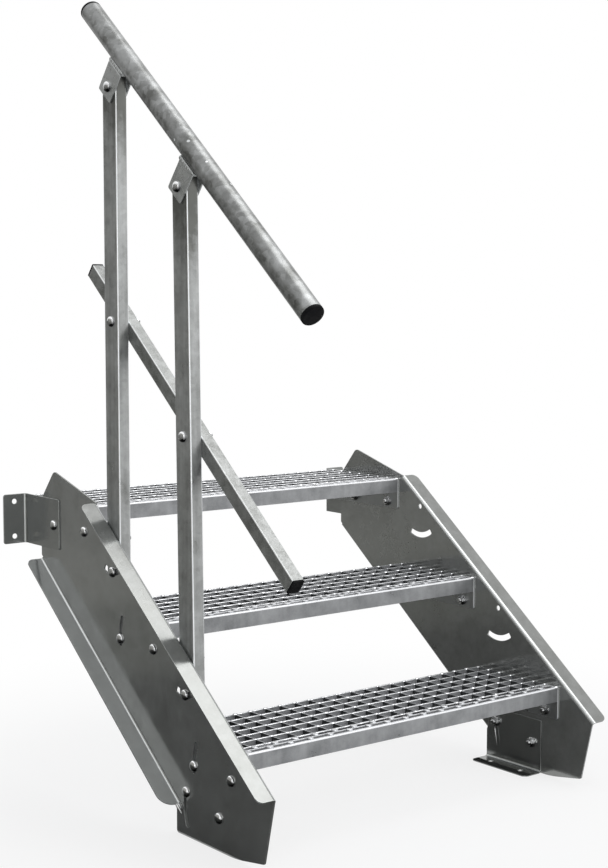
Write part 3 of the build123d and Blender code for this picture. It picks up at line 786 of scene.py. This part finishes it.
# Painted light: faces that look upward are painted near white, faces that look down near black.
bolt_zinc = zinc("zinc_bolt", (0.03, 0.031, 0.032), (0.97, 0.98, 0.99), {"blotch": 0.3, "speck": 0.2},
                 level=0.42, up=0.95, metallic=1.0, roughness=0.12, edge=0, lumps=0.05, cloudy=0.04)
bolt.data.materials.clear()
bolt.data.materials.append(bolt_zinc)
print("bolt faces:", len(bolt.data.polygons), "length:", round(bolt.dimensions.z, 4))

# %% [markdown]
# Every bolt goes in from the outside of its string, so heads show on the left of the
# picture and nuts with thread ends under the treads. A bolt is copied, its nut is moved
# down to the far side of what it holds, and the copy is turned to lie across the stair.

# %% A bolt in its place
def add_bolt(name, y, z, head_x, nut_x, turn_degrees):
    """A copy of the bolt from the head's seat to the nut's seat, in stair metres."""
    piece = bolt.copy()
    piece.data = bolt.data.copy()
    piece.name = name
    piece.data.name = name
    bpy.context.scene.collection.objects.link(piece)
    grip = abs(nut_x - head_x)
    for vertex in piece.data.vertices:
        if vertex.co.z < NUT_SEAT / 2:
            vertex.co.z -= grip + NUT_SEAT
    across = Matrix.Rotation(math.radians(-90 if head_x < nut_x else 90), 4, "Y")
    spin = Matrix.Rotation(math.radians(turn_degrees), 4, "Z")
    seat = Matrix.Translation((head_x - ORIGIN_X, y - ORIGIN_Y, z))
    piece.data.transform(seat @ across @ spin)
    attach(piece, "root")
    return piece


print("bolts may be placed")

# %% [markdown]
# Two bolts hold each end of a tread, the rear one of the top tread through the wall
# bracket as well, and two hold each foot bracket. They are turned a little differently
# each, as they come from a spanner.

# %% Bolts of the treads and foot brackets
SIDE = {"left": (0.0, 1), "right": (WIDTH, -1)}
TREAD_BOLTS = (("front", 0.035), ("rear", 0.155))
TREAD_BOLT_DROP, SPANNER_TURN, SIXTH = 0.055, 13, 60
FOOT_BOLTS = (("front", 0.074, 0.062), ("rear", 0.1816, 0.0849))

bolts = []
for side, (face, inward) in SIDE.items():
    for step in STEPS:
        for where, back in TREAD_BOLTS:
            out = 2 * SHEET if step == 2 and where == "rear" else SHEET
            bolts.append(add_bolt(
                f"bolt_{side}_tread_{step + 1}_{where}", step * GOING + back,
                (step + 1) * RISE - TREAD_BOLT_DROP, face - inward * out,
                face + inward * SHEET, SPANNER_TURN * len(bolts) % SIXTH))
    for where, y, z in FOOT_BOLTS:
        bolts.append(add_bolt(
            f"bolt_{side}_foot_{where}", y, z, face - inward * SHEET,
            face + inward * SHEET, SPANNER_TURN * len(bolts) % SIXTH))
print("bolts of treads and feet:", len(bolts))

# %% [markdown]
# Each post stands inside the left string on two bolts, the knee rail is held by one bolt
# a post, and a bolt through the saddle's legs and the post's head carries the handrail.

# %% Bolts of the posts and rails
POSTS = (("front", 0.183), ("rear", 0.440))
POST_BOLT_DROP, POST_BOLT_SPACING = 0.066, 0.065
KNEE_BOLTS = (("front", 0.190, 0.7465), ("rear", 0.440, 0.953))
RAIL_BOLTS = (("front", 0.200, 1.200), ("rear", 0.440, 1.401))
POST, KNEE_RAIL = 0.025, 0.025

for where, y in POSTS:
    z = RISE + y * RISE / GOING - POST_BOLT_DROP
    bolts.append(add_bolt(f"bolt_post_{where}_lower", y, z, -SHEET, POST, 40))
    bolts.append(add_bolt(f"bolt_post_{where}_upper", y, z + POST_BOLT_SPACING, -SHEET, POST, 20))
for where, y, z in KNEE_BOLTS:
    bolts.append(add_bolt(f"bolt_knee_rail_{where}", y, z, 0.0, POST + KNEE_RAIL, 15))
for where, y, z in RAIL_BOLTS:
    bolts.append(add_bolt(f"bolt_handrail_{where}", y, z, -SHEET, POST + SHEET, 10))
bpy.data.objects.remove(bolt)
print("bolts:", len(bolts))

# %% [markdown]
# Where bars cross, the zinc bath leaves a small lump on top, and these lumps make the
# edges of the grating glitter. There are hundreds of them, so one is a small flat
# cushion of a few faces: a cube, subdivided once, squeezed towards its rim. It is
# copied, sized and laid in its place, and each copy has its own mesh.

# %% One lump of zinc
def lay(source, name, x, y, z, shape):
    """A copy of a small piece at a place in stair metres; shape is the matrix that sizes it."""
    mesh = source.data.copy()
    mesh.transform(Matrix.Translation((x - ORIGIN_X, y - ORIGIN_Y, z)) @ shape)
    piece = bpy.data.objects.new(name, mesh)
    bpy.context.scene.collection.objects.link(piece)
    return piece


bpy.ops.mesh.primitive_cube_add(size=0.004, location=(0, 0, 0))
lump = bpy.context.object
bpy.ops.object.mode_set(mode="EDIT")
bpy.ops.mesh.subdivide(number_cuts=1)
bpy.ops.transform.tosphere(value=0.8)
bpy.ops.transform.resize(value=(1.5, 1.05, 0.5), center_override=(0, 0, 0))
bpy.ops.object.mode_set(mode="OBJECT")
close_up(lump, 0, angle=60)
print("lump:", [round(v, 4) for v in lump.dimensions])

# %% [markdown]
# Lumps sit where cross bars meet bearing bars, larger on the last bearing bar. Between
# them the zinc draws each bar's top edge round, which a long low copy shows. No two are
# alike: a sine of the place makes each a little larger or smaller, the same on each run.

# %% Lumps and ridges on the bars
CROSS_BARS = 22
CROSS_PITCH = (WIDTH - 2 * SHEET) / CROSS_BARS
LUMP_SUNK, RIDGE_SUNK = 0.0001, 0.0002


def bar_middle(step, bar):
    """Where a bearing bar's middle lies along Y, in stair metres."""
    return step * GOING + bar * BAR_PITCH + BAR / 2


def lumps_on(step):
    """Lumps of a tread where its bars cross."""
    for bar in range(1, LAST_BEARER + 1):
        for cross in range(1, CROSS_BARS):
            uneven = math.sin(cross * 12.9 + bar * 78.2 + step * 37.7)
            size = 1.05 + 0.45 * uneven if bar < LAST_BEARER else 1.3 + 0.3 * uneven
            x = SHEET + cross * CROSS_PITCH + 0.0006 * uneven
            yield lay(lump, "lump", x, bar_middle(step, bar), (step + 1) * RISE - LUMP_SUNK,
                      Matrix.Scale(size, 4))


def ridges_on(step):
    """Rounded top edges of a tread's bearing bars, between the lumps."""
    for bar in range(1, LAST_BEARER + 1):
        for cell in range(CROSS_BARS):
            uneven = math.sin(cell * 31.7 + bar * 12.3 + step * 7.9)
            shape = Matrix.Diagonal((5.6 + 0.4 * uneven, 0.84, 0.8 + 0.1 * uneven, 1))
            x = SHEET + (cell + 0.5) * CROSS_PITCH
            yield lay(lump, "ridge", x, bar_middle(step, bar), (step + 1) * RISE - RIDGE_SUNK, shape)


print("lumps on a tread:", LAST_BEARER * (CROSS_BARS - 1), "ridges:", LAST_BEARER * CROSS_BARS)

# %% [markdown]
# Zinc also rounds the teeth between the slots of the nosing, in two rows that are half a
# pitch apart, and at both ends of each bar a weld holds it to the end plate. Then all
# the zinc of a tread is joined to one piece.

# %% Teeth, end welds and the zinc of each tread
TOOTH_PITCH, FIRST_ROW, ROW_SPACING, END_MARGIN = 0.0461, 0.0125, 0.0155, 0.03
TOOTH_RISE, WELD_INSET, WELD_SUNK, WELD_SWING = 0.0009, 0.0045, 0.0006, 0.0008


def teeth_on(step):
    """Covers of the teeth in both rows of a tread's nosing."""
    for row, shift in enumerate((-TOOTH_PITCH / 4, TOOTH_PITCH / 4)):
        for index in range(-8, 9):
            x = WIDTH / 2 + shift + index * TOOTH_PITCH
            if END_MARGIN < x < WIDTH - END_MARGIN:
                uneven = math.sin(index * 23.1 + row * 51.3 + step * 3.7)
                y = step * GOING + FIRST_ROW + row * ROW_SPACING
                shape = Matrix.Diagonal((1.5 + 0.2 * uneven, 2.6, 0.9, 1))
                yield lay(lump, "tooth_cover", x, y, (step + 1) * RISE + TOOTH_RISE, shape)


def welds_on(step):
    """Welds between a tread's bearing bars and its end plates."""
    for bar in range(LAST_BEARER + 1):
        for end in (WELD_INSET, WIDTH - WELD_INSET):
            uneven = math.sin(bar * 45.1 + end * 97.3 + step * 12.7)
            yield lay(lump, "weld", end, bar_middle(step, bar) + WELD_SWING * uneven,
                      (step + 1) * RISE - WELD_SUNK, Matrix.Scale(1.5 + 0.3 * uneven, 4))


for step in STEPS:
    drops = join(*lumps_on(step), *ridges_on(step), *teeth_on(step), *welds_on(step))
    drops.name = f"tread_{step + 1}_zinc_lumps"
    drops.data.materials.append(lump_zinc)
    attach(drops, "root")
    print(drops.name, "faces:", len(drops.data.polygons))
bpy.data.objects.remove(lump)

# %% [markdown]
# When a string is lifted out of the zinc bath, the last zinc runs down its lower fold and
# freezes at the fold's front end in bright drips, and one more runs down the foot
# bracket. A drip could be sculpted, but it is small: a cube, subdivided, rounded, drawn
# out along the fold's slope and thinned towards its lower tip looks the same.

# %% Zinc drips
STRING_TOP, STRING_HEIGHT = 0.0185, 0.250
FOLD_DROP = STRING_TOP - STRING_HEIGHT / math.cos(SLOPE)


def drip(name, x, y, length, width, lean=math.degrees(SLOPE), z=None):
    """A drip on a string's face whose tip points down at the angle lean, in stair metres."""
    bpy.ops.object.select_all(action="DESELECT")
    bpy.ops.mesh.primitive_cube_add(size=width, location=(0, 0, 0))
    piece = bpy.context.object
    piece.name = name
    bpy.ops.object.mode_set(mode="EDIT")
    bpy.ops.mesh.subdivide(number_cuts=3)
    bpy.ops.transform.tosphere(value=1.0)
    bpy.ops.transform.resize(value=(0.8, length / width, 0.75), center_override=(0, 0, 0))
    pick(lambda middle, normal: middle.y < -0.2 * length)
    bpy.ops.transform.resize(value=(0.6, 1, 0.6), center_override=(0, -0.3 * length, 0))
    bpy.ops.mesh.select_all(action="SELECT")
    bpy.ops.transform.rotate(value=-math.radians(lean), orient_axis="X", center_override=(0, 0, 0))
    fold = RISE + y * RISE / GOING + FOLD_DROP
    push((x - ORIGIN_X, y - ORIGIN_Y, fold if z is None else z))
    bpy.ops.object.mode_set(mode="OBJECT")
    close_up(piece, 0, 60)
    # The drips share the bolt's finish, with its painted highlight above and painted shade below.
    piece.data.materials.append(bolt_zinc)
    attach(piece, "root")
    return piece


drips = []
for side, (face, inward) in SIDE.items():
    drips.append(drip(f"drip_{side}_foot", face + inward * 0.0072, 0.178, length=0.034,
                      width=0.0035, lean=80, z=0.052))
    drips.append(drip(f"drip_{side}_long", face - inward * 0.0085, 0.199, length=0.020, width=0.0062))
    drips.append(drip(f"drip_{side}_short", face - inward * 0.0045, 0.203, length=0.011, width=0.0052))
print("drips:", [piece.name for piece in drips])

# %% [markdown]
# Each saddle is welded to the underside of the handrail along both of its sides. A weld is
# a row of beads that freeze into each other, so one bead, a cube made round, is copied
# along the rail's slope, each copy a little larger or smaller than the last.

# %% Welds between the saddles and the handrail
BEAD, BEADS, BEAD_STEP = 0.0072, 18, 0.0028
SEAT, SUNK = 0.0465, 0.0003

bpy.ops.object.select_all(action="DESELECT")
bpy.ops.mesh.primitive_cube_add(size=BEAD, location=(0, 0, 0))
bead = bpy.context.object
bpy.ops.object.mode_set(mode="EDIT")
bpy.ops.mesh.subdivide(number_cuts=2)
bpy.ops.transform.tosphere(value=1.0)
bpy.ops.object.mode_set(mode="OBJECT")
close_up(bead, 0, 60)


def beads_along(x, bolt_y, bolt_z):
    """A row of beads on the handrail's underside, SEAT above a saddle's bolt."""
    for index in range(BEADS):
        run = (index - (BEADS - 1) / 2) * BEAD_STEP
        y = bolt_y + run * math.cos(RAIL_ANGLE) - SEAT * math.sin(RAIL_ANGLE)
        z = bolt_z + run * math.sin(RAIL_ANGLE) + SEAT * math.cos(RAIL_ANGLE)
        size = 1 + 0.08 * math.sin(index * 2.4 + bolt_y * 50)
        yield lay(bead, "bead", x, y, z, Matrix.Scale(size, 4))


for where, bolt_y, bolt_z in RAIL_BOLTS:
    for side, x in (("left", SUNK), ("right", POST - SUNK)):
        weld = join(*beads_along(x, bolt_y, bolt_z))
        weld.name = f"weld_saddle_{where}_{side}"
        weld.data.materials.append(saddle_zinc)
        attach(weld, "root")
        print(weld.name, "faces:", len(weld.data.polygons))
bpy.data.objects.remove(bead)
